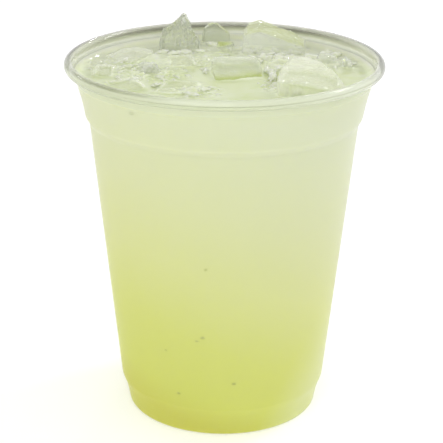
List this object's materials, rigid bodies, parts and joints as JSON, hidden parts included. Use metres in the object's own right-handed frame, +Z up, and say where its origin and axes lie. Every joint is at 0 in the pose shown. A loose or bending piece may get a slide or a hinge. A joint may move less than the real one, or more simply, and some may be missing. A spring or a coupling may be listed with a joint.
{
  "type": "cup of iced lemonade",
  "caption": "Clear plastic cold cup with a rolled rim, filled near the brim with cloudy pale green-yellow lemonade and cracked ice that stands out of the drink.",
  "frame": {"origin": "middle of the cup's foot, in the plane of the surface that it stands on", "axes": "+Z up along the cup's axis, -Y towards the picture's viewer, +X to the viewer's right"},
  "size_m": [0.098, 0.098, 0.1204],
  "materials": {
    "clear_plastic": "clear thin polyester sheet, glossy",
    "cloudy_lemonade": "cloudy pale green-yellow drink with a wet surface",
    "clear_ice": "wet cracked ice, clear to slightly frosted"
  },
  "bodies": {
    "root": {"cup": "clear_plastic", "lemonade": "cloudy_lemonade", "ice_spike": "clear_ice", "ice_back": "clear_ice", "ice_ridge": "clear_ice", "ice_large": "clear_ice", "ice_between": "clear_ice", "ice_centre": "clear_ice", "ice_right": "clear_ice", "ice_small_right": "clear_ice", "ice_right_back": "clear_ice", "ice_left_back": "clear_ice", "ice_left": "clear_ice", "ice_small_left": "clear_ice", "ice_mid": "clear_ice", "ice_front_left": "clear_ice", "ice_left_front": "clear_ice"}
  },
  "joints": []
}
